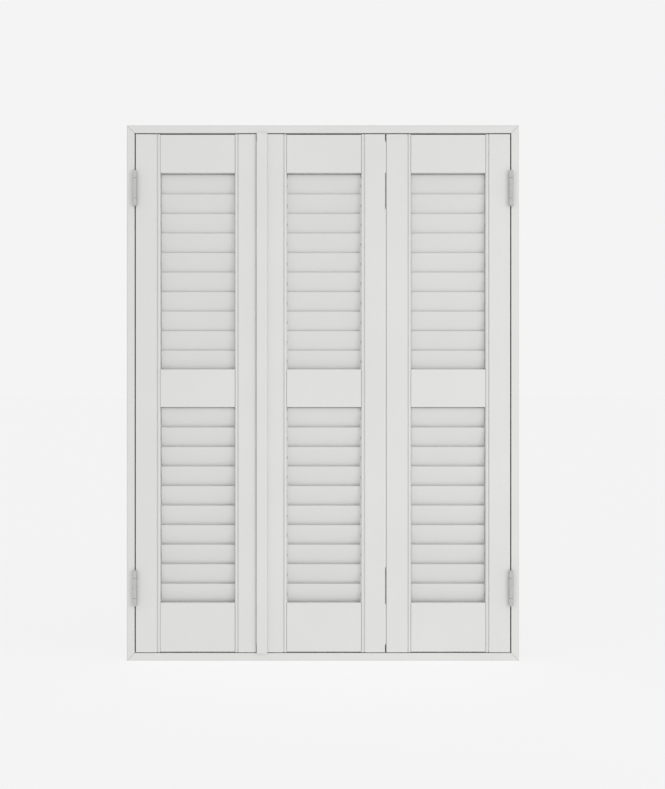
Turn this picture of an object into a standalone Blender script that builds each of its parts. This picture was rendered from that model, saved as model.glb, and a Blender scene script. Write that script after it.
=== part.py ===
"""Plantation shutter for a window: a mitred frame, one leaf hinged on the left
and a pair of leaves hinged on the right that folds in two.

X runs to the right, Y to the back, Z up.  The origin is the middle of the frame's
underside.  All lengths are in metres.
"""
import math

import bmesh
import bpy
from mathutils import Euler, Matrix, Vector

# --- fits -------------------------------------------------------------------------
FIT = 0.0003                # gap between pieces that touch
HEAD_GAP = 0.0025           # leaf to frame, above
SILL_GAP = 0.0018           # leaf to frame, below
HINGE_GAP = 0.0025          # leaf to frame, where two hinge plates lie
FOLD_GAP = 0.0029           # leaf to leaf, where two hinge plates lie
STOP_CLEAR = 0.0020         # back of a leaf to the frame's stop
LOUVRE_END_GAP = 0.0010     # louvre end to stile
UPPER_TOP_GAP = 0.0018      # upper bay's top louvre, stood upright, to the rail above it
LOWER_TOP_GAP = 0.0008      # the same in the lower bay
PIN_FIT = 0.0004            # louvre pin to its hole, all round
KNUCKLE_FIT = 0.0004        # one hinge knuckle to the next

# --- frame ------------------------------------------------------------------------
FRAME_FACE = 0.0165         # width of the frame seen from the front
FRAME_DEPTH = 0.050
FRAME_ROUND = 0.0038        # radius of the outer front edge
STOP_LIP = 0.010            # the stop's reach behind the leaves
ARRIS = 0.0007              # small radius on painted edges

# --- leaves -----------------------------------------------------------------------
LEAF_T = 0.032
STILE_W = 0.051
MEETING_STILE_W = 0.0447    # free stile of the left leaf
FOLD_STILE_W = 0.0493       # stile of the middle leaf at the fold
EDGE_SLOPE = math.radians(5.0)   # the free edge runs back, to clear the strip
EDGE_ROUND = 0.0032         # radius along the front of that edge
LOUVRE_ROOM = 0.1553        # clear width between two stiles
TOP_RAIL_H = 0.0792
MIDDLE_RAIL_H = 0.0787
BOTTOM_RAIL_H = 0.1018
RAIL_RECESS = 0.0008        # rail face behind stile face
RAIL_SHORT = 0.0010         # stile ends stand past the outer rails
RAIL_LIP = 0.0115           # front lip that the lowest louvre closes behind
RAIL_REBATE = 0.0095        # height of the rebate behind that lip
BACK_LIP = 0.0080           # back lip below a rail, that the top louvre closes against
BACK_LIP_T = 0.0100
BEAD_W = 0.0059             # half-round bead along a stile's inner edge
QUIRK_W = 0.0017            # groove beside the bead
QUIRK_DEPTH = 0.0022
TENON_L = 0.014
TENON_T = 0.009
TENON_SHOULDER = 0.014      # rail edge to tenon, above and below
MORTISE_FIT = 0.0004

# --- louvres ----------------------------------------------------------------------
LOUVRES = 10                # in each of a leaf's two bays
LOUVRE_PITCH = 0.0408
LOUVRE_LAP = 0.0062         # one louvre over the next
LOUVRE_T = 0.0085
UPPER_TILT = math.radians(9.0)     # off the vertical, top edge to the front
LOWER_TILT = math.radians(13.0)
UPPER_SILL_LAP = 0.0071     # lowest louvre, stood upright, below the edge of the rail's lip
LOWER_SILL_LAP = 0.0079
LOUVRE_SIDES = 16
LOUVRE_PIN_R = 0.0025
LOUVRE_PIN_SIDES = 6
LOUVRE_PIN_IN = 0.0060      # reach of a pin into the stile
ROD_W = 0.0080
ROD_T = 0.0026
ROD_INSET = 0.022           # louvre end to the tilt rod's middle
ROD_SUNK = 0.0009           # the rod's front face inside the louvres' backs
ROD_END = 0.0060            # rod past its contact with the first and last louvre

# --- meeting strip ----------------------------------------------------------------
STRIP_PROUD = 0.0060
STRIP_COVER = 0.0107        # head over the right-hand leaf's face
STRIP_TONGUE_W = 0.0090
STRIP_TONGUE_D = 0.0260
STRIP_ROUND = 0.0018
STRIP_LIP_CLEAR = 0.0007    # head to the left leaf's free edge
STRIP_TONGUE_CLEAR = 0.0026
STRIP_OVERRUN = 0.0015      # past the leaf's ends

# --- hinges -----------------------------------------------------------------------
KNUCKLE_R = 0.0048
KNUCKLE_END_H = 0.0150
KNUCKLE_MIDDLE_H = 0.0418
KNUCKLE_SIDES = 12
HINGE_PIN_R = 0.0020
HINGE_PIN_FIT = 0.0003
HINGE_PLATE_T = 0.0008
HINGE_PLATE_D = 0.0200
HINGE_TAB_INSET = 0.0005    # a tab is this much shorter than its knuckle at each end
HINGE_HEAD_R = 0.0036
HINGE_HEAD_H = 0.0014
HINGE_FROM_TOP = 0.1128     # leaf's top to the middle of its upper hinge
HINGE_FROM_BOTTOM = 0.1342

# --- magnetic catches -------------------------------------------------------------
CATCH_W = 0.038
CATCH_H = 0.012
CATCH_D = 0.014
MAGNET_W = 0.026
MAGNET_H = 0.006
MAGNET_D = 0.006
STRIKE_T = 0.0012
STRIKE_W = 0.032
STRIKE_H = 0.010

# --- places that follow -----------------------------------------------------------
LEFT_LEAF_W = STILE_W + LOUVRE_ROOM + MEETING_STILE_W
MIDDLE_LEAF_W = STILE_W + LOUVRE_ROOM + FOLD_STILE_W
RIGHT_LEAF_W = STILE_W + LOUVRE_ROOM + STILE_W
MEETING_GAP = STRIP_TONGUE_W + FIT + STRIP_TONGUE_CLEAR
OPEN_W = (2 * HINGE_GAP + LEFT_LEAF_W + MEETING_GAP + MIDDLE_LEAF_W + FOLD_GAP
          + RIGHT_LEAF_W)
FRAME_W = OPEN_W + 2 * FRAME_FACE
LOUVRE_CHORD = LOUVRE_PITCH + LOUVRE_LAP
LOUVRE_STACK = LOUVRE_CHORD + (LOUVRES - 1) * LOUVRE_PITCH
LOWER_BAY_H = LOWER_TOP_GAP + LOUVRE_STACK - LOWER_SILL_LAP
UPPER_BAY_H = UPPER_TOP_GAP + LOUVRE_STACK - UPPER_SILL_LAP
LEAF_H = (BOTTOM_RAIL_H + LOWER_BAY_H + MIDDLE_RAIL_H + UPPER_BAY_H + TOP_RAIL_H
          + 2 * RAIL_SHORT)
OPEN_H = LEAF_H + HEAD_GAP + SILL_GAP
FRAME_H = OPEN_H + 2 * FRAME_FACE

Y_FRONT = -FRAME_DEPTH / 2
Y_LEAF_BACK = Y_FRONT + LEAF_T
Y_STOP = Y_LEAF_BACK + STOP_CLEAR
Y_LOUVRE = Y_FRONT + LEAF_T / 2

Z_LEAF = FRAME_FACE + SILL_GAP
Z_LEAF_TOP = Z_LEAF + LEAF_H
Z_RAILS = {}
Z_RAILS["bottom"] = Z_LEAF + RAIL_SHORT
Z_RAILS["middle"] = Z_RAILS["bottom"] + BOTTOM_RAIL_H + LOWER_BAY_H
Z_RAILS["top"] = Z_RAILS["middle"] + MIDDLE_RAIL_H + UPPER_BAY_H
RAIL_H = {"bottom": BOTTOM_RAIL_H, "middle": MIDDLE_RAIL_H, "top": TOP_RAIL_H}
TILT = {"lower": LOWER_TILT, "upper": UPPER_TILT}
Z_TOP_PIVOT = {"lower": Z_RAILS["middle"] - LOWER_TOP_GAP - LOUVRE_CHORD / 2,
               "upper": Z_RAILS["top"] - UPPER_TOP_GAP - LOUVRE_CHORD / 2}
Z_HINGES = {"lower": Z_LEAF + HINGE_FROM_BOTTOM, "upper": Z_LEAF_TOP - HINGE_FROM_TOP}

X_LEFT_LEAF = -OPEN_W / 2 + HINGE_GAP
X_MIDDLE_LEAF = X_LEFT_LEAF + LEFT_LEAF_W + MEETING_GAP
X_RIGHT_LEAF = X_MIDDLE_LEAF + MIDDLE_LEAF_W + FOLD_GAP
X_LEFT_AXIS = -OPEN_W / 2 + HINGE_GAP / 2
X_RIGHT_AXIS = OPEN_W / 2 - HINGE_GAP / 2
X_FOLD_AXIS = X_RIGHT_LEAF - FOLD_GAP / 2
Y_FRONT_AXIS = Y_FRONT - FIT - KNUCKLE_R
Y_FOLD_AXIS = Y_LEAF_BACK + FIT + KNUCKLE_R

PAINT = ((0.80, 0.80, 0.79), 0.38, 0.0)
METAL = ((0.80, 0.80, 0.82), 0.15, 1.0)
STEEL = ((0.62, 0.62, 0.63), 0.30, 1.0)
PLASTIC = ((0.82, 0.82, 0.81), 0.45, 0.0)
MAGNET = ((0.18, 0.18, 0.19), 0.50, 0.6)

for old in list(bpy.data.objects):
    bpy.data.objects.remove(old, do_unlink=True)

parts = bpy.data.collections.new("window_shutter")
cutters = bpy.data.collections.new("cutters")
bpy.context.scene.collection.children.link(parts)
bpy.context.scene.collection.children.link(cutters)


# --- tools ------------------------------------------------------------------------
def finish_mesh(mesh):
    """Faces out, smooth shading broken at the edges."""
    bm = bmesh.new()
    bm.from_mesh(mesh)
    bmesh.ops.recalc_face_normals(bm, faces=bm.faces)
    bm.to_mesh(mesh)
    bm.free()
    mesh.shade_smooth()
    mesh.set_sharp_from_angle(angle=math.radians(35))


def add_part(name, mesh, look, parent=None, at=(0, 0, 0), turn=(0, 0, 0)):
    """A named piece with a material of its own, placed in its parent."""
    finish_mesh(mesh)
    obj = bpy.data.objects.new(name, mesh)
    colour, roughness, metallic = look
    mat = bpy.data.materials.new(name + "_finish")
    mat.use_nodes = True
    shader = mat.node_tree.nodes["Principled BSDF"]
    shader.inputs["Base Color"].default_value = (*colour, 1.0)
    shader.inputs["Roughness"].default_value = roughness
    shader.inputs["Metallic"].default_value = metallic
    mesh.materials.append(mat)
    parts.objects.link(obj)
    obj.location = Vector(at)
    obj.rotation_euler = turn
    if parent is not None:
        obj.parent = parent
        obj.location = Vector(at) - parent_place(parent)
    return obj


def parent_place(obj):
    """World place of an unrotated empty."""
    place = Vector(obj.location)
    while obj.parent is not None:
        obj = obj.parent
        place += obj.location
    return place


def add_cutter(name, mesh, at=(0, 0, 0), turn=(0, 0, 0)):
    obj = bpy.data.objects.new(name, mesh)
    obj.hide_render = True
    obj.display_type = "WIRE"
    obj.location = at
    obj.rotation_euler = turn
    cutters.objects.link(obj)
    return obj


def boolean(obj, other, operation):
    mod = obj.modifiers.new(operation.lower(), "BOOLEAN")
    mod.operation = operation
    mod.solver = "EXACT"
    mod.object = other


def empty(name, at, parent=None):
    obj = bpy.data.objects.new(name, None)
    obj.location = Vector(at) - (parent_place(parent) if parent else Vector())
    obj.parent = parent
    parts.objects.link(obj)
    return obj


def box_mesh(name, *boxes):
    """One mesh of boxes, each given by its low and high corner."""
    bm = bmesh.new()
    for low, high in boxes:
        low, high = Vector(low), Vector(high)
        made = bmesh.ops.create_cube(bm, size=1.0)["verts"]
        bmesh.ops.scale(bm, vec=high - low, verts=made)
        bmesh.ops.translate(bm, vec=(low + high) / 2, verts=made)
    mesh = bpy.data.meshes.new(name)
    bm.to_mesh(mesh)
    bm.free()
    return mesh


def rounded_box_mesh(name, low, high, radius):
    """A box with all its edges rounded."""
    mesh = box_mesh(name, (low, high))
    bm = bmesh.new()
    bm.from_mesh(mesh)
    bmesh.ops.bevel(bm, geom=bm.edges, offset=radius, segments=2, profile=0.5,
                    affect="EDGES")
    bm.to_mesh(mesh)
    bm.free()
    return mesh


def rods_mesh(name, rods, sides):
    """One mesh of round bars: each has a middle, a radius, a length and an axis."""
    bm = bmesh.new()
    for middle, radius, length, axis in rods:
        turn = Vector((0, 0, 1)).rotation_difference(Vector(axis)).to_matrix().to_4x4()
        turn.translation = middle
        bmesh.ops.create_cone(bm, cap_ends=True, segments=sides, radius1=radius,
                              radius2=radius, depth=length, matrix=turn)
    mesh = bpy.data.meshes.new(name)
    bm.to_mesh(mesh)
    bm.free()
    return mesh


def section_mesh(name, points, length):
    """A flat outline drawn out to a length, half each way along local Z."""
    curve = bpy.data.curves.new(name + "_outline", "CURVE")
    curve.dimensions = "2D"
    curve.fill_mode = "BOTH"
    curve.extrude = length / 2
    spline = curve.splines.new("POLY")
    spline.points.add(len(points) - 1)
    for point, (u, v) in zip(spline.points, points):
        point.co = (u, v, 0, 1)
    spline.use_cyclic_u = True
    obj = bpy.data.objects.new(name + "_outline", curve)
    bpy.context.scene.collection.objects.link(obj)
    bpy.context.view_layer.update()
    graph = bpy.context.evaluated_depsgraph_get()
    mesh = bpy.data.meshes.new_from_object(obj.evaluated_get(graph))
    bpy.data.objects.remove(obj, do_unlink=True)
    bm = bmesh.new()
    bm.from_mesh(mesh)
    bmesh.ops.remove_doubles(bm, verts=bm.verts, dist=0.00001)
    bm.to_mesh(mesh)
    bm.free()
    return mesh


def arc(centre, radius, start, end, steps):
    """Points on an arc, from one angle in degrees to the other."""
    for i in range(steps + 1):
        angle = math.radians(start + (end - start) * i / steps)
        yield (centre[0] + radius * math.cos(angle), centre[1] + radius * math.sin(angle))


ALONG_X = (math.pi / 2, 0, math.pi / 2)      # an outline in Y and Z, drawn out along X


# --- frame ------------------------------------------------------------------------
def frame_outline():
    """Section of a frame member: u from its outer side inwards, v from front to back."""
    r = FRAME_ROUND
    inner = FRAME_FACE
    lip = FRAME_FACE + STOP_LIP
    stop = Y_STOP - Y_FRONT
    points = list(arc((r, r), r, 180, 270, 4))
    points += list(arc((inner - ARRIS, ARRIS), ARRIS, 270, 360, 2))
    points += [(inner, stop)]
    points += list(arc((lip - ARRIS, stop + ARRIS), ARRIS, 270, 360, 2))
    points += [(lip, FRAME_DEPTH), (0, FRAME_DEPTH)]
    return points


def frame_members():
    """Four members, cut at 45 degrees where they meet."""
    outline = frame_outline()
    sides = {
        "frame_left": ([(u - FRAME_W / 2, v + Y_FRONT) for u, v in outline], FRAME_H),
        "frame_right": ([(FRAME_W / 2 - u, v + Y_FRONT) for u, v in outline], FRAME_H),
        "frame_bottom": ([(v + Y_FRONT, u) for u, v in outline], FRAME_W),
        "frame_top": ([(v + Y_FRONT, FRAME_H - u) for u, v in outline], FRAME_W),
    }
    made = {}
    for name, (points, length) in sides.items():
        mesh = section_mesh(name, points, length)
        if length == FRAME_H:
            made[name] = add_part(name, mesh, PAINT, at=(0, 0, FRAME_H / 2))
        else:
            made[name] = add_part(name, mesh, PAINT, turn=ALONG_X)
    size = 4 * (FRAME_FACE + STOP_LIP)
    for upright, sx in (("left", -1), ("right", 1)):
        for level, sz, z in (("bottom", -1, 0.0), ("top", 1, FRAME_H)):
            corner = Vector((sx * FRAME_W / 2, 0, z))
            across = Vector((-sx, 0, sz)).normalized()    # from upright to level member
            for name, away in (("frame_" + upright, across), ("frame_" + level, -across)):
                centre = corner + away * (size / 2 - FIT / 2)
                block = box_mesh("mitre", ([-size / 2] * 3, [size / 2] * 3))
                cutter = add_cutter(f"mitre_{upright}_{level}_{name}", block, centre,
                                    (0, math.atan2(-away.z, away.x), 0))
                boolean(made[name], cutter, "DIFFERENCE")


# --- leaves -----------------------------------------------------------------------
def stile_outline(width, front_round=ARRIS, slope=0.0):
    """Section of a stile: u from its outer edge to its beaded inner edge, v to the back."""
    bead = BEAD_W / 2
    sunk = LEAF_T * math.tan(slope)
    points = list(arc((front_round, front_round), front_round, 180, 270, 3))
    points += [(width - BEAD_W - QUIRK_W, 0.0),
               (width - BEAD_W - QUIRK_W, QUIRK_DEPTH), (width - BEAD_W, QUIRK_DEPTH)]
    points += list(arc((width - bead, bead + FIT), bead, 180, 360, 8))
    points += list(arc((width - ARRIS, LEAF_T - ARRIS), ARRIS, 0, 90, 2))
    points += list(arc((ARRIS + sunk, LEAF_T - ARRIS), ARRIS, 90, 180, 2))
    return points


def add_stile(name, parent, x_outer, inward, width, *edge):
    """A full-height stile with its louvre pin holes and its rail mortises."""
    points = [(inward * u, v) for u, v in stile_outline(width, *edge)]
    mesh = section_mesh(name, points, LEAF_H)
    obj = add_part(name, mesh, PAINT, parent, (x_outer, Y_FRONT, Z_LEAF + LEAF_H / 2))
    x_inner = x_outer + inward * width
    depth = LOUVRE_PIN_IN + FIT
    holes = []
    for bay in Z_TOP_PIVOT:
        for z in louvre_heights(bay):
            middle = (x_inner, Y_LOUVRE, z)
            holes.append((middle, LOUVRE_PIN_R + PIN_FIT, 2 * depth, (1, 0, 0)))
    boolean(obj, add_cutter(name + "_holes", rods_mesh(name + "_holes", holes,
                                                    LOUVRE_PIN_SIDES)), "DIFFERENCE")
    deep = TENON_L + MORTISE_FIT
    slots = []
    for rail, z in Z_RAILS.items():
        low = (x_inner - deep, Y_LOUVRE - TENON_T / 2 - MORTISE_FIT,
               z + TENON_SHOULDER - MORTISE_FIT)
        high = (x_inner + deep, Y_LOUVRE + TENON_T / 2 + MORTISE_FIT,
                z + RAIL_H[rail] - TENON_SHOULDER + MORTISE_FIT)
        slots.append((low, high))
    boolean(obj, add_cutter(name + "_mortises", box_mesh(name + "_mortises", *slots)),
            "DIFFERENCE")


def rail_outline(height, under, over):
    """Section of a rail: u from front to back, v up from its lower edge.

    under and over say whether louvres close on it from below and from above.
    """
    front, back = RAIL_RECESS, LEAF_T - RAIL_RECESS
    foot = 0.0
    points = list(arc((front + ARRIS, ARRIS), ARRIS, 180, 270, 2))
    if under:
        foot = -BACK_LIP
        points += [(back - BACK_LIP_T, 0.0)]
        points += list(arc((back - BACK_LIP_T + ARRIS, foot + ARRIS), ARRIS, 180, 270, 2))
    points += list(arc((back - ARRIS, foot + ARRIS), ARRIS, 270, 360, 2))
    if over:
        points += [(back, height - RAIL_REBATE), (RAIL_LIP, height - RAIL_REBATE)]
        points += list(arc((RAIL_LIP - ARRIS, height - ARRIS), ARRIS, 0, 90, 2))
    else:
        points += list(arc((back - ARRIS, height - ARRIS), ARRIS, 0, 90, 2))
    points += list(arc((front + ARRIS, height - ARRIS), ARRIS, 90, 180, 2))
    return points


def add_rail(name, parent, rail, x_room):
    """A rail between two stiles, with a tenon at each end."""
    z, height = Z_RAILS[rail], RAIL_H[rail]
    length = LOUVRE_ROOM - 2 * FIT
    x_mid = x_room + LOUVRE_ROOM / 2
    outline = rail_outline(height, rail != "bottom", rail != "top")
    mesh = section_mesh(name, outline, length)
    obj = add_part(name, mesh, PAINT, parent, (x_mid, Y_FRONT, z), ALONG_X)
    reach = LOUVRE_ROOM / 2 - FIT + TENON_L
    tenon = box_mesh(name + "_tenons",
                     ((x_mid - reach, Y_LOUVRE - TENON_T / 2, z + TENON_SHOULDER),
                      (x_mid + reach, Y_LOUVRE + TENON_T / 2,
                       z + height - TENON_SHOULDER)))
    boolean(obj, add_cutter(name + "_tenons", tenon), "UNION")


def louvre_heights(bay):
    """Pivot heights of a bay's louvres, from the top down."""
    return [Z_TOP_PIVOT[bay] - i * LOUVRE_PITCH for i in range(LOUVRES)]


def louvre_back(tilt):
    """A tilted louvre's back, where it stands out most: behind and below the pivot."""
    half, thick = LOUVRE_CHORD / 2, LOUVRE_T / 2
    sine, cosine = math.sin(tilt), math.cos(tilt)
    behind = math.hypot(half * sine, thick * cosine)
    return behind, (half ** 2 - thick ** 2) * sine * cosine / behind


def add_louvres(name, parent, bay, x_room):
    """A bay's louvres on their pins, held together by the tilt rod behind them."""
    heights = louvre_heights(bay)
    x_mid = x_room + LOUVRE_ROOM / 2
    half = LOUVRE_ROOM / 2 - LOUVRE_END_GAP
    x_rod = x_mid + half - ROD_INSET
    behind, below = louvre_back(TILT[bay])
    y_rod = Y_LOUVRE + behind - ROD_SUNK
    low = heights[-1] - below - ROD_END
    high = heights[0] - below + ROD_END
    rod = box_mesh(name, ((-ROD_W / 2, 0, low - heights[0]),
                          (ROD_W / 2, ROD_T, high - heights[0])))
    obj = add_part(name, rod, PAINT, parent, (x_rod, y_rod, heights[0]))
    bm = bmesh.new()
    for z in heights:
        place = (Matrix.Translation((x_mid, Y_LOUVRE, z))
                 @ Euler(ALONG_X).to_matrix().to_4x4()
                 @ Matrix.Rotation(TILT[bay], 4, "Z")
                 @ Matrix.Diagonal((LOUVRE_T, LOUVRE_CHORD, 1, 1)))
        bmesh.ops.create_cone(bm, cap_ends=True, segments=LOUVRE_SIDES, radius1=0.5,
                              radius2=0.5, depth=2 * half, matrix=place)
    blades = bpy.data.meshes.new(name + "_blades")
    bm.to_mesh(blades)
    bm.free()
    boolean(obj, add_cutter(name + "_blades", blades), "UNION")
    reach = LOUVRE_END_GAP + LOUVRE_PIN_IN
    overlap = 0.0015
    pins = []
    for z in heights:
        for side in (-1, 1):
            middle = (x_mid + side * (half + (reach - overlap) / 2), Y_LOUVRE, z)
            pins.append((middle, LOUVRE_PIN_R, reach + overlap, (1, 0, 0)))
    pin_mesh = rods_mesh(name + "_pins", pins, LOUVRE_PIN_SIDES)
    boolean(obj, add_cutter(name + "_pins", pin_mesh), "UNION")


def add_leaf(leaf, parent, x_left, left_stile_w, right_stile_w, *edge):
    """Two stiles, three rails and two bays of louvres."""
    x_room = x_left + left_stile_w
    add_stile(leaf + "_stile_left", parent, x_left, 1, left_stile_w)
    add_stile(leaf + "_stile_right", parent, x_room + LOUVRE_ROOM + right_stile_w, -1,
              right_stile_w, *edge)
    for rail in Z_RAILS:
        add_rail(f"{leaf}_rail_{rail}", parent, rail, x_room)
    for bay in TILT:
        add_louvres(f"{leaf}_louvres_{bay}", parent, bay, x_room)


# --- meeting strip ----------------------------------------------------------------
def add_meeting_strip(parent):
    """T-section: the head covers the joint, the tongue lies against the leaf's edge."""
    r = STRIP_ROUND
    left, right = STRIP_LIP_CLEAR - MEETING_GAP, STRIP_COVER
    front = -FIT - STRIP_PROUD
    points = list(arc((left + r, front + r), r, 180, 270, 4))
    points += list(arc((right - r, front + r), r, 270, 360, 4))
    points += [(right, -FIT), (-FIT, -FIT), (-FIT, STRIP_TONGUE_D),
               (-FIT - STRIP_TONGUE_W, STRIP_TONGUE_D), (-FIT - STRIP_TONGUE_W, -FIT),
               (left, -FIT)]
    mesh = section_mesh("meeting_strip", points, LEAF_H + 2 * STRIP_OVERRUN)
    add_part("meeting_strip", mesh, PAINT, parent,
             (X_MIDDLE_LEAF, Y_FRONT, Z_LEAF + LEAF_H / 2))


# --- hinges -----------------------------------------------------------------------
def hinge_spans():
    """Height spans of the three knuckles, about the hinge's middle."""
    half = KNUCKLE_MIDDLE_H / 2
    top = half + KNUCKLE_FIT + KNUCKLE_END_H
    return [(-top, -half - KNUCKLE_FIT), (-half, half), (half + KNUCKLE_FIT, top)]


def plate_outline(spans, behind):
    """Hinge plate in Y and Z about the pin: tabs reach from it into the knuckles."""
    low, high = hinge_spans()[0][0], hinge_spans()[2][1]
    tab = (KNUCKLE_R + HINGE_PIN_R + HINGE_PIN_FIT) / 2
    edge = KNUCKLE_R + FIT
    points = [(edge + HINGE_PLATE_D, low), (edge + HINGE_PLATE_D, high), (edge, high)]
    for bottom, top in reversed(spans):
        bottom, top = bottom + HINGE_TAB_INSET, top - HINGE_TAB_INSET
        points += [(edge, top), (tab, top), (tab, bottom), (edge, bottom)]
    points += [(edge, low)]
    return [(behind * u, v) for u, v in points]


def add_hinge(name, pin_at, gap, behind, fixed_side, fixed_parent, moving_parent):
    """Butt hinge: the fixed plate carries the end knuckles and the pin.

    gap is the joint that the plates lie in, behind the way from the pin to the plates
    along Y, and fixed_side the way from the pin to the fixed plate along X.
    """
    low, middle, high = hinge_spans()
    plates = (("fixed", [low, high], fixed_side, fixed_parent),
              ("moving", [middle], -fixed_side, moving_parent))
    off = gap / 2 - FIT - HINGE_PLATE_T / 2
    for role, spans, side, parent in plates:
        node = f"{name}_{role}_plate"
        mesh = section_mesh(node, plate_outline(spans, behind), HINGE_PLATE_T)
        at = Vector(pin_at) + Vector((side * off, 0, 0))
        obj = add_part(node, mesh, METAL, parent, at, ALONG_X)
        rolls = [((0, 0, (a + b) / 2), KNUCKLE_R, b - a, (0, 0, 1)) for a, b in spans]
        knuckles = rods_mesh(node + "_knuckles", rolls, KNUCKLE_SIDES)
        boolean(obj, add_cutter(node + "_knuckles", knuckles, pin_at), "UNION")
        bore = [((0, 0, 0), HINGE_PIN_R + HINGE_PIN_FIT, 2 * (high[1] + FIT), (0, 0, 1))]
        bore_mesh = rods_mesh(node + "_bore", bore, KNUCKLE_SIDES)
        boolean(obj, add_cutter(node + "_bore", bore_mesh, pin_at), "DIFFERENCE")
    add_pin(name + "_pin", pin_at, high[1] + FIT, fixed_parent)


def add_pin(name, at, half, parent):
    """Turned pin with a low domed head at each end."""
    side = [(0.0, half + HINGE_HEAD_H), (0.8 * HINGE_HEAD_R, half + 0.8 * HINGE_HEAD_H),
            (HINGE_HEAD_R, half), (HINGE_PIN_R, half)]
    side += [(r, -z) for r, z in reversed(side)]
    mesh = bpy.data.meshes.new(name)
    mesh.from_pydata([(r, 0, z) for r, z in side],
                     [(i, i + 1) for i in range(len(side) - 1)], [])
    obj = add_part(name, mesh, METAL, parent, at)
    screw = obj.modifiers.new("turn", "SCREW")
    screw.steps = screw.render_steps = KNUCKLE_SIDES
    screw.use_merge_vertices = True
    screw.merge_threshold = 0.00001
    screw.use_smooth_shade = True


# --- magnetic catches -------------------------------------------------------------
def add_catch(side, x, leaf_parent):
    """Magnet block under the top stop, and the steel strike on the leaf's back."""
    top = FRAME_H - FRAME_FACE - STOP_LIP - FIT
    z = top - CATCH_H / 2
    y_strike = Y_LEAF_BACK + FIT
    y_catch = y_strike + STRIKE_T + FIT
    body = rounded_box_mesh(f"catch_{side}_body", (-CATCH_W / 2, 0, -CATCH_H / 2),
                            (CATCH_W / 2, CATCH_D, CATCH_H / 2), ARRIS)
    obj = add_part(f"catch_{side}_body", body, PLASTIC, at=(x, y_catch, z))
    pocket = box_mesh(f"catch_{side}_pocket",
                      ((-MAGNET_W / 2 - FIT, -ARRIS, -MAGNET_H / 2 - FIT),
                       (MAGNET_W / 2 + FIT, MAGNET_D + FIT, MAGNET_H / 2 + FIT)))
    cutter = add_cutter(f"catch_{side}_pocket", pocket, (x, y_catch, z))
    boolean(obj, cutter, "DIFFERENCE")
    magnet = box_mesh(f"catch_{side}_magnet", ((-MAGNET_W / 2, 0, -MAGNET_H / 2),
                                               (MAGNET_W / 2, MAGNET_D, MAGNET_H / 2)))
    add_part(f"catch_{side}_magnet", magnet, MAGNET, at=(x, y_catch, z))
    strike = box_mesh(f"catch_{side}_strike", ((-STRIKE_W / 2, 0, -STRIKE_H / 2),
                                               (STRIKE_W / 2, STRIKE_T, STRIKE_H / 2)))
    add_part(f"catch_{side}_strike", strike, STEEL, leaf_parent, (x, y_strike, z))


# --- the whole shutter ------------------------------------------------------------
frame_members()

left_axis = empty("left_leaf_axis", (X_LEFT_AXIS, Y_FRONT_AXIS, 0))
right_axis = empty("right_leaf_axis", (X_RIGHT_AXIS, Y_FRONT_AXIS, 0))
fold_axis = empty("fold_axis", (X_FOLD_AXIS, Y_FOLD_AXIS, 0), right_axis)

add_leaf("left", left_axis, X_LEFT_LEAF, STILE_W, MEETING_STILE_W, EDGE_ROUND, EDGE_SLOPE)
add_leaf("middle", fold_axis, X_MIDDLE_LEAF, STILE_W, FOLD_STILE_W)
add_leaf("right", right_axis, X_RIGHT_LEAF, STILE_W, STILE_W)
add_meeting_strip(fold_axis)

for level, z_hinge in Z_HINGES.items():
    add_hinge(f"hinge_left_{level}", (X_LEFT_AXIS, Y_FRONT_AXIS, z_hinge), HINGE_GAP,
              1, -1, None, left_axis)
    add_hinge(f"hinge_right_{level}", (X_RIGHT_AXIS, Y_FRONT_AXIS, z_hinge), HINGE_GAP,
              1, 1, None, right_axis)
    add_hinge(f"hinge_fold_{level}", (X_FOLD_AXIS, Y_FOLD_AXIS, z_hinge), FOLD_GAP,
              -1, 1, right_axis, fold_axis)

add_catch("left", X_LEFT_LEAF + LEFT_LEAF_W - MEETING_STILE_W / 2, left_axis)
add_catch("right", X_MIDDLE_LEAF + STILE_W / 2, fold_axis)
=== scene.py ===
"""Plantation shutter: painted timber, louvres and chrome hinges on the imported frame.

X runs to the right, Y to the back, Z up, in metres.  Places come from the frame's
nodes; the sections' own sizes repeat those of the CAD source.
"""
import math

import bmesh
import bpy
from mathutils import Matrix, Vector


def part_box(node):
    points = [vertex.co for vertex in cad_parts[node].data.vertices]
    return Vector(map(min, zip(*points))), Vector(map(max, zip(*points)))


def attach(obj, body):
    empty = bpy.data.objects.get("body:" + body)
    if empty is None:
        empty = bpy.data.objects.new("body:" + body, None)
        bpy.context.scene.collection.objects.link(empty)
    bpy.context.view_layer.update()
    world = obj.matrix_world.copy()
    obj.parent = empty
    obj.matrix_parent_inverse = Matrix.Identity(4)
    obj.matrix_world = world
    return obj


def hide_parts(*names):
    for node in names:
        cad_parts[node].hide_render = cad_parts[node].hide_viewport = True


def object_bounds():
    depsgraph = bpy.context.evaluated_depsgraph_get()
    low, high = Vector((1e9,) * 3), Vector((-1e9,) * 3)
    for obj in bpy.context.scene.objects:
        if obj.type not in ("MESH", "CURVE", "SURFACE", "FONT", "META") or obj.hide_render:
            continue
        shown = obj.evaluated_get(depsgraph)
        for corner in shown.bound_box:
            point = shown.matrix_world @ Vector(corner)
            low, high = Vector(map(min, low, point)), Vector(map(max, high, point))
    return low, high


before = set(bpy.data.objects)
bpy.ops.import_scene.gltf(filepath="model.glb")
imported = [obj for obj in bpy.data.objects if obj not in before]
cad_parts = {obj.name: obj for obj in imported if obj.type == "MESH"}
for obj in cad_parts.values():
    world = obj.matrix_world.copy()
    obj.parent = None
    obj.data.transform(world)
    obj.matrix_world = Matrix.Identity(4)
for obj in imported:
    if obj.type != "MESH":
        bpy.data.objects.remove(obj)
CAD_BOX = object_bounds()

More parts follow.
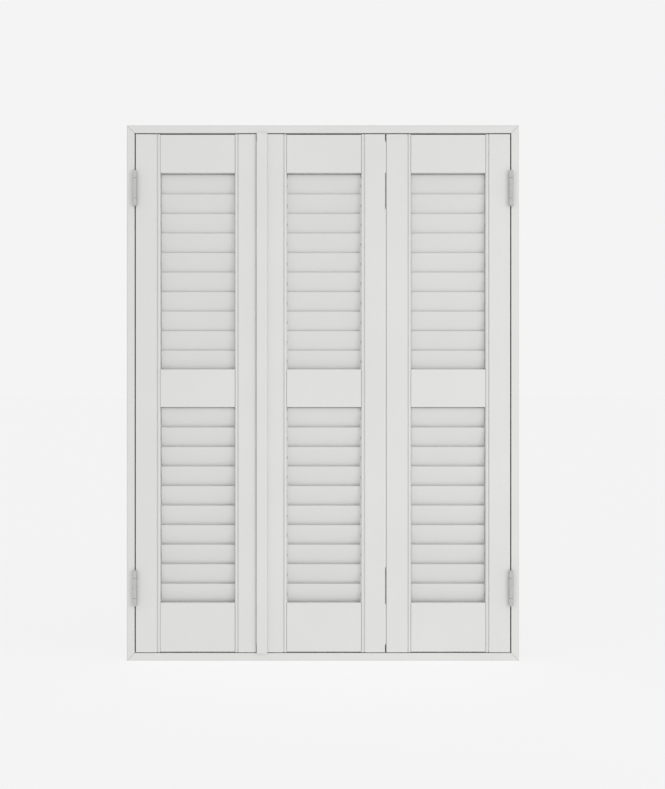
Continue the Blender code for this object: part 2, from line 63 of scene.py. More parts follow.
# --- sizes repeated from the CAD source --------------------------------------------
FIT = 0.0003
FRAME_ROUND = 0.0038        # outer front edge of the frame
FRAME_FACE = 0.0165
FRAME_DEPTH = 0.050
STOP_LIP = 0.010
STOP_AT = 0.034             # frame's front face to its stop
ARRIS = 0.0007
LEAF_T = 0.032
EDGE_SLOPE = math.radians(5.0)
EDGE_ROUND = 0.0032
RAIL_RECESS = 0.0008
RAIL_LIP = 0.0115
RAIL_REBATE = 0.0095
BACK_LIP = 0.0080
BACK_LIP_T = 0.0100
BEAD_W = 0.0059
QUIRK_W = 0.0017
QUIRK_DEPTH = 0.0022
TENON_L = 0.014
TENON_T = 0.009
TENON_SHOULDER = 0.014
MORTISE_FIT = 0.0004
LOUVRES = 10
LOUVRE_PITCH = 0.0408
LOUVRE_CHORD = 0.047
LOUVRE_T = 0.0085
TILT = {"lower": math.radians(13.0), "upper": math.radians(9.0)}
TOP_GAP = {"lower": 0.0008, "upper": 0.0018}
LOUVRE_END_GAP = 0.0010
LOUVRE_PIN_R = 0.0025
LOUVRE_PIN_IN = 0.0060
PIN_FIT = 0.0004
ROD_W = 0.0080
ROD_T = 0.0026
ROD_INSET = 0.022
ROD_SUNK = 0.0009
ROD_END = 0.0060
STRIP_PROUD = 0.0060
STRIP_COVER = 0.0107
STRIP_TONGUE_W = 0.0090
STRIP_ROUND = 0.0018
KNUCKLE_R = 0.0048
KNUCKLE_END_H = 0.0150
KNUCKLE_MIDDLE_H = 0.0418
KNUCKLE_FIT = 0.0004
HINGE_PIN_R = 0.0020
HINGE_PIN_FIT = 0.0003
HINGE_PLATE_T = 0.0008
HINGE_PLATE_D = 0.0200
HINGE_TAB_INSET = 0.0005
HINGE_HEAD_R = 0.0036
HINGE_HEAD_H = 0.0014
HINGE_GAP = 0.0025
FOLD_GAP = 0.0029

# --- finer sizes that the solids leave out ---
KNUCKLE_EASE = 0.0003
KNUCKLE_SWELL = math.radians(2.5)   # slope of a knuckle's wall at its ends
PLATE_CORNER = 0.0025
HINGE_SCREW_R = 0.0034
SCREW_INSET = 0.0090        # plate's end to its outer screw

LEAVES = {"left": "left_leaf", "middle": "middle_leaf", "right": "right_leaf"}
Y_FRONT = -FRAME_DEPTH / 2
Y_LOUVRE = Y_FRONT + LEAF_T / 2


# --- mesh tools --------------------------------------------------------------------
def arc(centre, radius, start, end, steps):
    """Points on an arc, from one angle in degrees to the other."""
    made = []
    for i in range(steps + 1):
        angle = math.radians(start + (end - start) * i / steps)
        made.append((centre[0] + radius * math.cos(angle),
                     centre[1] + radius * math.sin(angle)))
    return made


def inset_outline(points, inset):
    """The outline moved inwards, its corners kept."""
    count = len(points)
    area = sum(points[i - 1][0] * points[i][1] - points[i][0] * points[i - 1][1]
               for i in range(count))
    turn = 1.0 if area > 0 else -1.0
    moved = []
    for i in range(count):
        a, b, c = (Vector(points[j % count]) for j in (i - 1, i, i + 1))
        first, second = (b - a).normalized(), (c - b).normalized()
        n1 = Vector((-first.y, first.x)) * turn
        n2 = Vector((-second.y, second.x)) * turn
        moved.append(tuple(b + (n1 + n2) * (inset / max(0.3, 1.0 + n1.dot(n2)))))
    return moved


def drawn_out(points, place, low, high, ease=0.0004):
    """A section drawn out from low to high, its end edges eased.

    place turns (u, v, along) into a point; low and high may be functions of (u, v).
    """
    bm = bmesh.new()
    rings = []
    stations = ((low, 1, ease, 0.0), (low, 1, 0.3 * ease, 0.3 * ease), (low, 1, 0.0, ease),
                (high, -1, 0.0, ease), (high, -1, 0.3 * ease, 0.3 * ease),
                (high, -1, ease, 0.0))
    for end, way, inset, along in stations:
        outline = inset_outline(points, inset) if inset else points
        ring = []
        for (u, v), (u0, v0) in zip(outline, points):
            at = end(u0, v0) if callable(end) else end
            ring.append(bm.verts.new(place(u, v, at + way * along)))
        rings.append(ring)
    count = len(points)
    for one, two in zip(rings, rings[1:]):
        for i in range(count):
            j = (i + 1) % count
            bm.faces.new((one[i], one[j], two[j], two[i]))
    bm.faces.new(rings[0])
    bm.faces.new(reversed(rings[-1]))
    bmesh.ops.recalc_face_normals(bm, faces=bm.faces)
    return bm


def turned(bm, side, centre, axis=(0, 0, 1), steps=32, hollow=False):
    """A turned solid: side is (radius, height) from one end of the axis to the other.

    A hollow one goes round from its bore over the outside and back to its bore.
    """
    turn = Vector((0, 0, 1)).rotation_difference(Vector(axis)).to_matrix()
    rings = []
    for radius, height in side:
        if radius < 1e-7:
            rings.append([bm.verts.new(Vector(centre) + turn @ Vector((0, 0, height)))])
            continue
        ring = []
        for i in range(steps):
            angle = 2 * math.pi * i / steps
            point = Vector((radius * math.cos(angle), radius * math.sin(angle), height))
            ring.append(bm.verts.new(Vector(centre) + turn @ point))
        rings.append(ring)
    made = []
    pairs = list(zip(rings, rings[1:]))
    if hollow:
        pairs.append((rings[-1], rings[0]))
    for one, two in pairs:
        for i in range(steps):
            j = (i + 1) % steps
            if len(one) == 1:
                made.append(bm.faces.new((one[0], two[i], two[j])))
            elif len(two) == 1:
                made.append(bm.faces.new((one[i], one[j], two[0])))
            else:
                made.append(bm.faces.new((one[i], one[j], two[j], two[i])))
    for ring in (rings[0], rings[-1]):
        if len(ring) > 1 and not hollow:
            made.append(bm.faces.new(ring))
    bmesh.ops.recalc_face_normals(bm, faces=made)


def block(bm, low, high, bevel=0.0, segments=2):
    """A box, its edges rounded where bevel is given."""
    low, high = Vector(low), Vector(high)
    verts = bmesh.ops.create_cube(bm, size=1.0)["verts"]
    bmesh.ops.scale(bm, vec=high - low, verts=verts)
    bmesh.ops.translate(bm, vec=(low + high) / 2, verts=verts)
    if bevel:
        edges = list({e for v in verts for e in v.link_edges})
        bmesh.ops.bevel(bm, geom=edges, offset=bevel, segments=segments, profile=0.5,
                        affect="EDGES")


def mesh_object(name, bm):
    mesh = bpy.data.meshes.new(name)
    bm.to_mesh(mesh)
    bm.free()
    obj = bpy.data.objects.new(name, mesh)
    bpy.context.scene.collection.objects.link(obj)
    return obj


def cut(obj, other, operation="DIFFERENCE"):
    """Booleans obj with other, which is used up."""
    mod = obj.modifiers.new("cut", "BOOLEAN")
    mod.operation = operation
    mod.solver = "EXACT"
    mod.object = other
    graph = bpy.context.evaluated_depsgraph_get()
    mesh = bpy.data.meshes.new_from_object(obj.evaluated_get(graph))
    obj.modifiers.clear()
    old = obj.data
    obj.data = mesh
    bpy.data.meshes.remove(old)
    gone = other.data
    bpy.data.objects.remove(other)
    bpy.data.meshes.remove(gone)


def finish_piece(obj, body, nodes, material, angle=32):
    """Smooth shading, material, body and the nodes that the piece stands for."""
    mesh = obj.data
    mesh.materials.clear()
    mesh.materials.append(material)
    mesh.shade_smooth()
    mesh.set_sharp_from_angle(angle=math.radians(angle))
    weighted = obj.modifiers.new("weighted_normals", "WEIGHTED_NORMAL")
    weighted.mode = "FACE_AREA"
    weighted.keep_sharp = True
    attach(obj, body)
    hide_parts(*nodes)


# --- materials ---------------------------------------------------------------------
def new_material(name):
    material = bpy.data.materials.new(name)
    material.use_nodes = True
    tree = material.node_tree
    return material, tree, tree.nodes["Principled BSDF"]


def noise(tree, coords, stretch, scale, detail=2.0, roughness=0.5):
    """Noise over the object's own coordinates, stretched by a scale on each axis."""
    mapping = tree.nodes.new("ShaderNodeMapping")
    mapping.inputs["Scale"].default_value = stretch
    tree.links.new(coords, mapping.inputs["Vector"])
    texture = tree.nodes.new("ShaderNodeTexNoise")
    texture.inputs["Scale"].default_value = scale
    texture.inputs["Detail"].default_value = detail
    texture.inputs["Roughness"].default_value = roughness
    tree.links.new(mapping.outputs["Vector"], texture.inputs["Vector"])
    return texture.outputs["Fac"]


def ranged(tree, value, low, high, from_low=0.3, from_high=0.7):
    node = tree.nodes.new("ShaderNodeMapRange")
    node.inputs["From Min"].default_value = from_low
    node.inputs["From Max"].default_value = from_high
    node.inputs["To Min"].default_value = low
    node.inputs["To Max"].default_value = high
    tree.links.new(value, node.inputs["Value"])
    return node.outputs["Result"]


def ramp(tree, value, low, high):
    node = tree.nodes.new("ShaderNodeValToRGB")
    node.color_ramp.elements[0].position = 0.3
    node.color_ramp.elements[0].color = (*low, 1)
    node.color_ramp.elements[1].position = 0.7
    node.color_ramp.elements[1].color = (*high, 1)
    tree.links.new(value, node.inputs["Fac"])
    return node.outputs["Color"]


def bump(tree, value, depth, below=None):
    node = tree.nodes.new("ShaderNodeBump")
    node.inputs["Strength"].default_value = 1.0
    node.inputs["Distance"].default_value = depth
    tree.links.new(value, node.inputs["Height"])
    if below is not None:
        tree.links.new(below, node.inputs["Normal"])
    return node.outputs["Normal"]


def painted_timber(name, low, high, along):
    """Satin paint: sprayed orange peel over a trace of the timber's grain."""
    material, tree, shader = new_material(name)
    coords = tree.nodes.new("ShaderNodeTexCoord").outputs["Object"]
    grain = [420.0, 420.0, 420.0]
    grain["XYZ".index(along)] = 9.0
    cloud = noise(tree, coords, (1, 1, 1), 7.0, 3.0)
    fibres = noise(tree, coords, grain, 1.0, 3.0, 0.6)
    peel = noise(tree, coords, (1, 1, 1), 650.0, 2.0)
    tree.links.new(ramp(tree, cloud, low, high), shader.inputs["Base Color"])
    tree.links.new(ranged(tree, peel, 0.34, 0.42), shader.inputs["Roughness"])
    normal = bump(tree, fibres, 0.00003)
    normal = bump(tree, peel, 0.00002, normal)
    tree.links.new(normal, shader.inputs["Normal"])
    return material


def polished_metal(name, low, high, rough, scratch):
    """Plated metal with faint polishing marks round the barrel."""
    material, tree, shader = new_material(name)
    shader.inputs["Metallic"].default_value = 1.0
    coords = tree.nodes.new("ShaderNodeTexCoord").outputs["Object"]
    marks = noise(tree, coords, (60, 60, 2600), 1.0, 3.0)
    cloud = noise(tree, coords, (1, 1, 1), 120.0, 2.0)
    tree.links.new(ramp(tree, cloud, low, high), shader.inputs["Base Color"])
    tree.links.new(ranged(tree, marks, *rough), shader.inputs["Roughness"])
    tree.links.new(bump(tree, marks, scratch), shader.inputs["Normal"])
    return material


def moulded_plastic(name, low, high, rough, grain):
    material, tree, shader = new_material(name)
    coords = tree.nodes.new("ShaderNodeTexCoord").outputs["Object"]
    cloud = noise(tree, coords, (1, 1, 1), 60.0, 2.0)
    sparks = noise(tree, coords, (1, 1, 1), 2200.0, 2.0)
    tree.links.new(ramp(tree, cloud, low, high), shader.inputs["Base Color"])
    tree.links.new(ranged(tree, sparks, *rough), shader.inputs["Roughness"])
    tree.links.new(bump(tree, sparks, grain), shader.inputs["Normal"])
    return material


WHITE = ((0.720, 0.720, 0.705), (0.740, 0.740, 0.725))
# The louvres' copy of the white paint is darker than the rest: painted shade for the light that
# the tilted, recessed louvres lose.
LOUVRE_WHITE_SHADED = ((0.687, 0.687, 0.673), (0.707, 0.707, 0.692))
PAINT_UPRIGHT = painted_timber("white_paint_upright", *WHITE, "Z")
PAINT_LEVEL = painted_timber("white_paint_level", *WHITE, "X")
PAINT_LOUVRE_SHADED = painted_timber("white_paint_louvre_shaded", *LOUVRE_WHITE_SHADED, "X")
CHROME = polished_metal("chrome", (0.54, 0.55, 0.55), (0.59, 0.60, 0.60), (0.05, 0.11),
                        0.000002)
STEEL = polished_metal("zinc_steel", (0.50, 0.50, 0.50), (0.62, 0.62, 0.61), (0.25, 0.4),
                       0.00001)
CATCH_WHITE = moulded_plastic("white_plastic", (0.76, 0.76, 0.74), (0.79, 0.79, 0.77),
                              (0.4, 0.5), 0.00002)
FERRITE = moulded_plastic("ferrite", (0.055, 0.055, 0.058), (0.085, 0.085, 0.088),
                          (0.45, 0.6), 0.00003)


# --- frame -------------------------------------------------------------------------
def frame_outline():
    """u from the member's outer side inwards, v from front to back."""
    r, lip = FRAME_ROUND, FRAME_FACE + STOP_LIP
    points = arc((r, r), r, 180, 270, 10)
    points += arc((FRAME_FACE - ARRIS, ARRIS), ARRIS, 270, 360, 5)
    points += [(FRAME_FACE, STOP_AT)]
    points += arc((lip - ARRIS, STOP_AT + ARRIS), ARRIS, 270, 360, 5)
    points += arc((lip - ARRIS / 2, FRAME_DEPTH - ARRIS / 2), ARRIS / 2, 0, 90, 3)
    points += arc((ARRIS / 2, FRAME_DEPTH - ARRIS / 2), ARRIS / 2, 90, 180, 3)
    return points


def make_frame():
    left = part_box("frame_left")
    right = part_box("frame_right")
    x0, x1, z0, z1 = left[0].x, right[1].x, left[0].z, left[1].z
    gap = FIT / math.sqrt(2)
    places = {
        "left": (lambda u, v, t: (x0 + u, Y_FRONT + v, t), z0, z1),
        "right": (lambda u, v, t: (x1 - u, Y_FRONT + v, t), z0, z1),
        "bottom": (lambda u, v, t: (t, Y_FRONT + v, z0 + u), x0, x1),
        "top": (lambda u, v, t: (t, Y_FRONT + v, z1 - u), x0, x1),
    }
    for side, (place, start, end) in places.items():
        bm = drawn_out(frame_outline(), place, lambda u, v: start + u + gap,
                       lambda u, v: end - u - gap, ease=0.0002)
        obj = mesh_object(f"frame_{side}_timber", bm)
        upright = side in ("left", "right")
        finish_piece(obj, "frame", [f"frame_{side}"],
                     PAINT_UPRIGHT if upright else PAINT_LEVEL)


# --- leaves ------------------------------------------------------------------------
def stile_outline(width, front_round, slope):
    """u from the outer edge to the beaded inner edge, v to the back."""
    bead = BEAD_W / 2
    sunk = LEAF_T * math.tan(slope)
    edge = width - BEAD_W - QUIRK_W
    points = arc((front_round, front_round), front_round, 180, 270, 8)
    points += arc((edge - ARRIS / 2, ARRIS / 2), ARRIS / 2, 270, 360, 4)
    points += [(edge, QUIRK_DEPTH), (width - BEAD_W, QUIRK_DEPTH)]
    points += arc((width - bead, bead + FIT), bead, 180, 360, 20)
    points += arc((width - ARRIS, LEAF_T - ARRIS), ARRIS, 0, 90, 5)
    points += arc((ARRIS + sunk, LEAF_T - ARRIS), ARRIS, 90, 180, 5)
    return points


def louvre_heights(leaf, bay):
    """Pivot heights of a bay's louvres, from the top down."""
    rail = {"lower": "middle", "upper": "top"}[bay]
    first = rail_span(leaf, rail)[0] - TOP_GAP[bay] - LOUVRE_CHORD / 2
    return [first - i * LOUVRE_PITCH for i in range(LOUVRES)]


def make_stile(leaf, side):
    node = f"{leaf}_stile_{side}"
    low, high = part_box(node)
    inward = 1 if side == "left" else -1
    outer, inner = (low.x, high.x) if side == "left" else (high.x, low.x)
    edge = (EDGE_ROUND, EDGE_SLOPE) if node == "left_stile_right" else (ARRIS, 0.0)
    outline = stile_outline(high.x - low.x, *edge)
    bm = drawn_out(outline, lambda u, v, t: (outer + inward * u, Y_FRONT + v, t),
                   low.z, high.z)
    obj = mesh_object(node + "_timber", bm)
    holes = bmesh.new()
    deep = LOUVRE_PIN_IN + FIT
    for bay in TILT:
        for z in louvre_heights(leaf, bay):
            radius = LOUVRE_PIN_R + PIN_FIT
            turned(holes, [(radius, -deep), (radius, deep)], (inner, Y_LOUVRE, z),
                   (1, 0, 0), 16)
    cut(obj, mesh_object("holes", holes))
    slots = bmesh.new()
    deep = TENON_L + MORTISE_FIT
    for rail in ("bottom", "middle", "top"):
        z_low, z_high = rail_span(leaf, rail)
        block(slots, (inner - deep, Y_LOUVRE - TENON_T / 2 - MORTISE_FIT,
                      z_low + TENON_SHOULDER - MORTISE_FIT),
              (inner + deep, Y_LOUVRE + TENON_T / 2 + MORTISE_FIT,
               z_high - TENON_SHOULDER + MORTISE_FIT))
    cut(obj, mesh_object("mortises", slots))
    finish_piece(obj, LEAVES[leaf], [node], PAINT_UPRIGHT)


def rail_span(leaf, rail):
    """Lower and upper edge of a rail's face."""
    low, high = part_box(f"{leaf}_rail_{rail}")
    return low.z + (BACK_LIP if rail != "bottom" else 0.0), high.z


def rail_outline(height, under, over):
    """u from front to back, v up from the lower edge of the rail's face."""
    front, back = RAIL_RECESS, LEAF_T - RAIL_RECESS
    foot = 0.0
    points = arc((front + ARRIS, ARRIS), ARRIS, 180, 270, 5)
    if under:
        foot = -BACK_LIP
        points += [(back - BACK_LIP_T, 0.0)]
        points += arc((back - BACK_LIP_T + ARRIS, foot + ARRIS), ARRIS, 180, 270, 5)
    points += arc((back - ARRIS, foot + ARRIS), ARRIS, 270, 360, 5)
    if over:
        points += [(back, height - RAIL_REBATE), (RAIL_LIP, height - RAIL_REBATE)]
        points += arc((RAIL_LIP - ARRIS, height - ARRIS), ARRIS, 0, 90, 5)
    else:
        points += arc((back - ARRIS, height - ARRIS), ARRIS, 0, 90, 5)
    points += arc((front + ARRIS, height - ARRIS), ARRIS, 90, 180, 5)
    return points


def make_rail(leaf, rail):
    node = f"{leaf}_rail_{rail}"
    low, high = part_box(node)
    z_low, z_high = rail_span(leaf, rail)
    outline = rail_outline(z_high - z_low, rail != "bottom", rail != "top")
    bm = drawn_out(outline, lambda u, v, t: (t, Y_FRONT + u, z_low + v),
                   low.x + TENON_L, high.x - TENON_L, ease=0.0002)
    obj = mesh_object(node + "_timber", bm)
    tenon = bmesh.new()
    block(tenon, (low.x, Y_LOUVRE - TENON_T / 2, z_low + TENON_SHOULDER),
          (high.x, Y_LOUVRE + TENON_T / 2, z_high - TENON_SHOULDER))
    cut(obj, mesh_object("tenon", tenon), "UNION")
    finish_piece(obj, LEAVES[leaf], [node], PAINT_LEVEL)


def louvre_outline(tilt):
    """Section of a louvre about its pivot, tilted: u to the back, v up."""
    sine, cosine = math.sin(tilt), math.cos(tilt)
    points = []
    for i in range(56):
        angle = 2 * math.pi * i / 56
        across, up = LOUVRE_T / 2 * math.cos(angle), LOUVRE_CHORD / 2 * math.sin(angle)
        points.append((across * cosine - up * sine, up * cosine + across * sine))
    return points


def louvre_back(tilt):
    """Where a tilted louvre's back stands out most: behind and below the pivot."""
    half, thick = LOUVRE_CHORD / 2, LOUVRE_T / 2
    sine, cosine = math.sin(tilt), math.cos(tilt)
    behind = math.hypot(half * sine, thick * cosine)
    return behind, (half ** 2 - thick ** 2) * sine * cosine / behind


def make_louvres(leaf, bay):
    node = f"{leaf}_louvres_{bay}"
    low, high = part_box(node)
    left, right = low.x + LOUVRE_PIN_IN, high.x - LOUVRE_PIN_IN
    left, right = left + LOUVRE_END_GAP, right - LOUVRE_END_GAP
    heights = louvre_heights(leaf, bay)
    section = louvre_outline(TILT[bay])
    whole = bmesh.new()
    for z in heights:
        bm = drawn_out(section, lambda u, v, t: (t, Y_LOUVRE + u, z + v), left, right,
                       ease=0.0006)
        mesh = bpy.data.meshes.new("louvre")
        bm.to_mesh(mesh)
        bm.free()
        whole.from_mesh(mesh)
        bpy.data.meshes.remove(mesh)
        for start, end in ((low.x, left + 0.0015), (right - 0.0015, high.x)):
            ease = 0.0004
            radius = LOUVRE_PIN_R
            side = [(radius - ease, start), (radius, start + ease), (radius, end - ease),
                    (radius - ease, end)]
            turned(whole, side, (0, Y_LOUVRE, z), (1, 0, 0), 20)
    behind, below = louvre_back(TILT[bay])
    x_rod = right - ROD_INSET
    y_rod = Y_LOUVRE + behind - ROD_SUNK
    block(whole, (x_rod - ROD_W / 2, y_rod, heights[-1] - below - ROD_END),
          (x_rod + ROD_W / 2, y_rod + ROD_T, heights[0] - below + ROD_END), 0.0006, 3)
    obj = mesh_object(node + "_painted", whole)
    # The louvres take the darker copy of the white paint, which paints in their shade.
    finish_piece(obj, LEAVES[leaf], [node], PAINT_LOUVRE_SHADED)


def make_strip():
    low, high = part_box("meeting_strip")
    r = STRIP_ROUND
    front = low.y
    x_leaf = high.x - STRIP_COVER
    points = arc((low.x + r, front + r), r, 180, 270, 10)
    points += arc((high.x - r, front + r), r, 270, 360, 10)
    back = front + STRIP_PROUD
    deep = high.y
    points += [(high.x, back), (x_leaf - FIT, back), (x_leaf - FIT, deep),
               (x_leaf - FIT - STRIP_TONGUE_W, deep), (x_leaf - FIT - STRIP_TONGUE_W, back),
               (low.x, back)]
    bm = drawn_out(points, lambda u, v, t: (u, v, t), low.z, high.z, ease=0.0005)
    obj = mesh_object("meeting_strip_timber", bm)
    finish_piece(obj, "middle_leaf", ["meeting_strip"], PAINT_UPRIGHT)


# --- hinges ------------------------------------------------------------------------
def hinge_spans():
    """Height spans of the three knuckles about the hinge's middle."""
    half = KNUCKLE_MIDDLE_H / 2
    top = half + KNUCKLE_FIT + KNUCKLE_END_H
    return [(-top, -half - KNUCKLE_FIT), (-half, half), (half + KNUCKLE_FIT, top)]


def plate_outline(spans, behind):
    """Plate in Y and Z about the pin, its far corners rounded, tabs into the knuckles."""
    low, high = hinge_spans()[0][0], hinge_spans()[2][1]
    tab = (KNUCKLE_R + HINGE_PIN_R + HINGE_PIN_FIT) / 2
    edge, r = KNUCKLE_R + FIT, PLATE_CORNER
    points = arc((edge + HINGE_PLATE_D - r, low + r), r, 270, 360, 6)
    points += arc((edge + HINGE_PLATE_D - r, high - r), r, 0, 90, 6)
    points += [(edge, high)]
    for bottom, top in reversed(spans):
        bottom, top = bottom + HINGE_TAB_INSET, top - HINGE_TAB_INSET
        points += [(edge, top), (tab, top), (tab, bottom), (edge, bottom)]
    points += [(edge, low)]
    kept = [p for i, p in enumerate(points) if (Vector(p) - Vector(points[i - 1])).length > 1e-6]
    return [(behind * u, v) for u, v in kept]


def screw_at(bm, centre, axis, head, deep):
    """Countersunk screw head, its face on centre, axis outwards; screwed() cuts its cross
    recess.
    """
    side = [(0.45 * head, -deep), (0.97 * head, -0.00008), (0.92 * head, 0.0)]
    turned(bm, side, centre, axis, 24)


def screwed(obj, places, axis, head, deep):
    """Sinks cross-head screws into a plate: places are on its face, axis points out."""
    axis = Vector(axis)
    sinks, heads, crosses = bmesh.new(), bmesh.new(), bmesh.new()
    for place in places:
        place = Vector(place)
        turned(sinks, [(0.5 * head, -2 * deep), (0.5 * head, -deep), (1.1 * head, 0.0),
                       (1.1 * head, deep)], place, axis, 24)
        screw_at(heads, place - axis * 0.00008, axis, head, deep)
        spread = [0.75 * head if abs(a) < 0.5 else 0.35 * deep for a in axis]
        for flat in [i for i in range(3) if abs(axis[i]) < 0.5]:
            arm = list(spread)
            arm[flat] = 0.13 * head
            block(crosses, place - Vector(arm), place + Vector(arm))
    cut(obj, mesh_object("sinks", sinks))
    screws = mesh_object("screws", heads)
    cross = mesh_object("crosses", crosses)
    cut(screws, cross)
    cut(obj, screws, "UNION")


def knuckle_side(a, b):
    """Outside of a knuckle, a little swelled between its eased ends."""
    e, span = KNUCKLE_EASE, b - a
    swell = span * math.tan(KNUCKLE_SWELL) / 4
    side = []
    for i in range(9):
        t = i / 4 - 1
        side.append((KNUCKLE_R - swell * t * t, (a + b) / 2 + t * (span / 2 - e)))
    return [(side[0][0] - e, a)] + side + [(side[-1][0] - e, b)]


def make_hinge(name, gap, behind, fixed_side, fixed_body, moving_body):
    """gap is the joint that the plates lie in, behind the way from the pin to them."""
    low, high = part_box(name + "_pin")
    pin = (low + high) / 2
    spans = hinge_spans()
    off = gap / 2 - FIT - HINGE_PLATE_T / 2
    for role, rolls, side, body in (("fixed", [spans[0], spans[2]], fixed_side, fixed_body),
                                    ("moving", [spans[1]], -fixed_side, moving_body)):
        node = f"{name}_{role}_plate"
        x = pin.x + side * off
        bm = drawn_out(plate_outline(rolls, behind),
                       lambda u, v, t: (t, pin.y + u, pin.z + v),
                       x - HINGE_PLATE_T / 2, x + HINGE_PLATE_T / 2, ease=0.0001)
        obj = mesh_object(node + "_metal", bm)
        inner = x - side * HINGE_PLATE_T / 2
        y = pin.y + behind * (KNUCKLE_R + FIT + 0.55 * HINGE_PLATE_D)
        reach = spans[2][1] - SCREW_INSET
        places = [(inner, y + behind * shift, pin.z + z)
                  for z, shift in ((-reach, 0.0), (0.0, 0.003), (reach, 0.0))]
        screwed(obj, places, (-side, 0, 0), HINGE_SCREW_R, 0.8 * HINGE_PLATE_T)
        tubes = bmesh.new()
        bore = HINGE_PIN_R + HINGE_PIN_FIT
        for a, b in rolls:
            turned(tubes, [(bore, a)] + knuckle_side(a, b) + [(bore, b)], pin, steps=48,
                   hollow=True)
        cut(obj, mesh_object("knuckles", tubes), "UNION")
        finish_piece(obj, body, [node], CHROME)
    bm = bmesh.new()
    half = spans[2][1] + FIT
    dome = [(HINGE_HEAD_R * math.sin(math.radians(a)),
             half + HINGE_HEAD_H * math.cos(math.radians(a))) for a in range(0, 91, 15)]
    side = dome + [(HINGE_PIN_R, half)]
    side[0] = (0.0, side[0][1])
    turned(bm, side + [(r, -z) for r, z in reversed(side)], pin, steps=40)
    obj = mesh_object(name + "_pin_metal", bm)
    finish_piece(obj, fixed_body, [name + "_pin"], CHROME)


# --- magnetic catches --------------------------------------------------------------
def rounded_rectangle(half_u, half_v, radius, steps=6):
    points = []
    for u, v, start in ((1, -1, 270), (1, 1, 0), (-1, 1, 90), (-1, -1, 180)):
        points += arc((u * (half_u - radius), v * (half_v - radius)), radius, start,
                      start + 90, steps)
    return points


def make_catch(side, leaf_body):
    """Plastic block with a magnet between two poles, and the strike that it holds."""
    node = f"catch_{side}_body"
    low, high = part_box(node)
    middle = (low + high) / 2
    magnet_low, magnet_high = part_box(f"catch_{side}_magnet")
    bm = bmesh.new()
    block(bm, low, high, 0.0010, 4)
    obj = mesh_object(node + "_moulding", bm)
    pocket = bmesh.new()
    room = Vector((FIT, 0, FIT))
    block(pocket, magnet_low - room - Vector((0, 0.002, 0)),
          magnet_high + room + Vector((0, FIT, 0)))
    cut(obj, mesh_object("pocket", pocket))
    screwed(obj, [(middle.x + way * 0.0159, middle.y, low.z) for way in (-1, 1)],
            (0, 0, -1), 0.0020, 0.0012)
    finish_piece(obj, "frame", [node], CATCH_WHITE)

    bm = bmesh.new()
    pole = 0.0012
    block(bm, magnet_low, (magnet_high.x, magnet_high.y, magnet_low.z + pole), 0.0002, 2)
    block(bm, (magnet_low.x, magnet_low.y, magnet_high.z - pole), magnet_high, 0.0002, 2)
    block(bm, (magnet_low.x + 0.0003, magnet_low.y + 0.0003, magnet_low.z + pole),
          (magnet_high.x - 0.0003, magnet_high.y, magnet_high.z - pole), 0.0001, 1)
    obj = mesh_object(f"catch_{side}_magnet_block", bm)
    finish_piece(obj, "frame", [f"catch_{side}_magnet"], FERRITE)

    node = f"catch_{side}_strike"
    low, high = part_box(node)
    middle = (low + high) / 2
    outline = rounded_rectangle((high.x - low.x) / 2, (high.z - low.z) / 2, 0.0015)
    bm = drawn_out(outline, lambda u, v, t: (middle.x + u, t, middle.z + v), low.y, high.y,
                   ease=0.0002)
    obj = mesh_object(node + "_plate", bm)
    screwed(obj, [(middle.x + way * 0.0110, high.y, middle.z) for way in (-1, 1)],
            (0, 1, 0), 0.0024, 0.0010)
    finish_piece(obj, leaf_body, [node], STEEL)


# --- stage -------------------------------------------------------------------------
BACKDROP = 0.905            # pale surroundings that the shutter is seen against
DOME_FRONT = 1.215          # soft light from the front half, and from behind
DOME_BACK = 0.12
DOME_RIGHT = 0.05           # how much more comes from the right than from the left
KEY = 2.2                   # soft box to the right, in watts
KEY_SPREAD = 80             # its beam, in degrees, which keeps its light off the floor
BACK_LAMP = 0.62            # level light on the back
FLOOR_GLOW = 0.84           # share of the floor that takes no shadow
FLOOR_LIFT = 0.080          # brings the shaded share up to the backdrop's level


def mixed(tree, factor, one, two):
    node = tree.nodes.new("ShaderNodeMixShader")
    if isinstance(factor, float):
        node.inputs["Fac"].default_value = factor
    else:
        tree.links.new(factor, node.inputs["Fac"])
    tree.links.new(one, node.inputs[1])
    tree.links.new(two, node.inputs[2])
    return node.outputs[0]


def maths(tree, operation, one, two):
    node = tree.nodes.new("ShaderNodeMath")
    node.operation = operation
    for socket, value in zip(node.inputs, (one, two)):
        if isinstance(value, (int, float)):
            socket.default_value = value
        else:
            tree.links.new(value, socket)
    return node.outputs[0]


def looked_at(tree):
    """1 where the camera sees it, also in metal or through glass, and 0 for its light."""
    path = tree.nodes.new("ShaderNodeLightPath").outputs
    seen = maths(tree, "MAXIMUM", path["Is Camera Ray"], path["Is Glossy Ray"])
    return maths(tree, "MAXIMUM", seen, path["Is Transmission Ray"])


def make_world():
    """A dome, brighter in front and to the right, behind even pale surroundings."""
    world = bpy.data.worlds.new("studio")
    bpy.context.scene.world = world
    world.use_nodes = True
    tree = world.node_tree
    tree.nodes.clear()
    seen = tree.nodes.new("ShaderNodeBackground")
    seen.inputs["Color"].default_value = (BACKDROP, BACKDROP, BACKDROP, 1)
    soft = tree.nodes.new("ShaderNodeBackground")
    coords = tree.nodes.new("ShaderNodeTexCoord")
    way = tree.nodes.new("ShaderNodeSeparateXYZ")
    tree.links.new(coords.outputs["Generated"], way.inputs["Vector"])
    depth = ranged(tree, way.outputs["Y"], DOME_FRONT, DOME_BACK, -0.3, 0.2)
    side = ranged(tree, way.outputs["X"], 1 - DOME_RIGHT, 1 + DOME_RIGHT, -1.0, 1.0)
    tree.links.new(maths(tree, "MULTIPLY", depth, side), soft.inputs["Strength"])
    out = tree.nodes.new("ShaderNodeOutputWorld")
    tree.links.new(mixed(tree, looked_at(tree), soft.outputs[0], seen.outputs[0]),
                   out.inputs["Surface"])


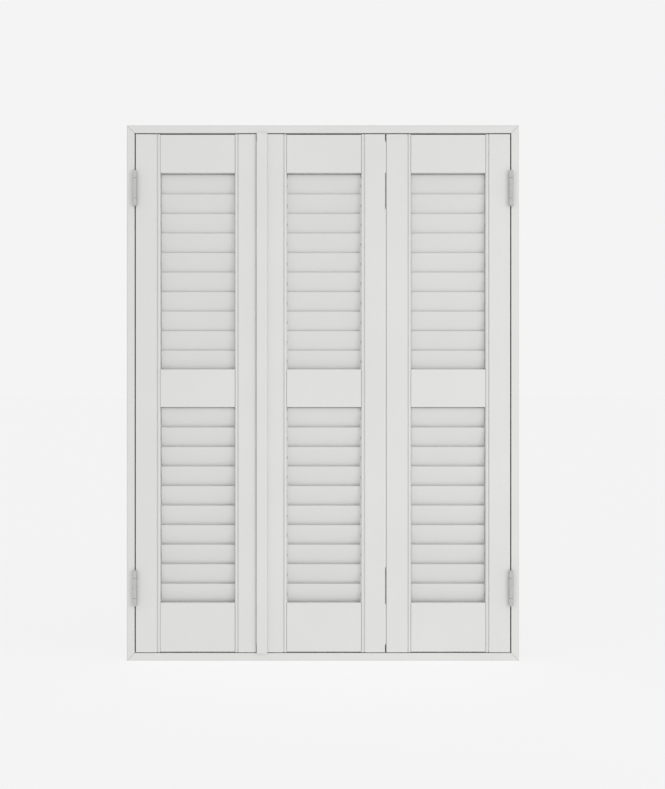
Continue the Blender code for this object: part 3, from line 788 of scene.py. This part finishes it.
def make_lamps():
    """A soft box out to the right, and a level lamp for the back."""
    low, high = CAD_BOX
    middle = (low + high) / 2
    for name, kind, way in (("key", "AREA", (1.90, -1.90, 0.10)),
                            ("back", "SUN", (0.0, 1.0, 0.0))):
        lamp = bpy.data.lights.new(name, kind)
        if kind == "SUN":
            lamp.angle = math.radians(12)
            lamp.energy = BACK_LAMP * math.pi
        else:
            lamp.shape = "DISK"
            lamp.size = 1.1
            lamp.spread = math.radians(KEY_SPREAD)
            lamp.energy = KEY
        obj = bpy.data.objects.new(name, lamp)
        obj.location = middle + Vector(way)
        obj.rotation_euler = Vector(way).to_track_quat("Z", "Y").to_euler()
        obj.visible_glossy = False
        bpy.context.scene.collection.objects.link(obj)


def make_floor():
    """Pale floor, as light as the surroundings where no shadow falls."""
    bm = bmesh.new()
    bmesh.ops.create_circle(bm, cap_ends=True, segments=128, radius=150.0)
    floor = mesh_object("floor", bm)
    material, tree, shader = new_material("pale_floor")
    shader.inputs["Base Color"].default_value = (0.9, 0.9, 0.9, 1)
    shader.inputs["Roughness"].default_value = 1.0
    shader.inputs["Specular IOR Level"].default_value = 0.0
    glow = tree.nodes.new("ShaderNodeEmission")
    glow.inputs["Color"].default_value = (BACKDROP, BACKDROP, BACKDROP, 1)
    lift = maths(tree, "MULTIPLY", looked_at(tree), FLOOR_LIFT)
    tree.links.new(maths(tree, "ADD", lift, 1.0), glow.inputs["Strength"])
    tree.links.new(mixed(tree, FLOOR_GLOW, shader.outputs[0], glow.outputs[0]),
                   tree.nodes["Material Output"].inputs["Surface"])
    floor.data.materials.append(material)


def make_camera():
    """Level with the shutter's middle and square to it."""
    camera = bpy.data.cameras.new("camera")
    camera.lens = 60.33
    camera.sensor_width = 36.0
    camera.shift_x = 0.0121
    camera.shift_y = -0.0018
    obj = bpy.data.objects.new("camera", camera)
    low, high = CAD_BOX
    obj.location = (0, Y_FRONT - 2.75, (low.z + high.z) / 2)
    obj.rotation_euler = (math.pi / 2, 0, 0)
    bpy.context.scene.collection.objects.link(obj)
    bpy.context.scene.camera = obj
    camera.clip_end = 200.0


make_frame()
for leaf in LEAVES:
    for side in ("left", "right"):
        make_stile(leaf, side)
    for rail in ("bottom", "middle", "top"):
        make_rail(leaf, rail)
    for bay in TILT:
        make_louvres(leaf, bay)
make_strip()
for level in ("lower", "upper"):
    make_hinge(f"hinge_left_{level}", HINGE_GAP, 1, -1, "frame", "left_leaf")
    make_hinge(f"hinge_right_{level}", HINGE_GAP, 1, 1, "frame", "right_leaf")
    make_hinge(f"hinge_fold_{level}", FOLD_GAP, -1, 1, "right_leaf", "middle_leaf")
make_catch("left", "left_leaf")
make_catch("right", "middle_leaf")
make_camera()
make_world()
make_lamps()
make_floor()

view = bpy.context.scene.view_settings
view.view_transform = "Standard"
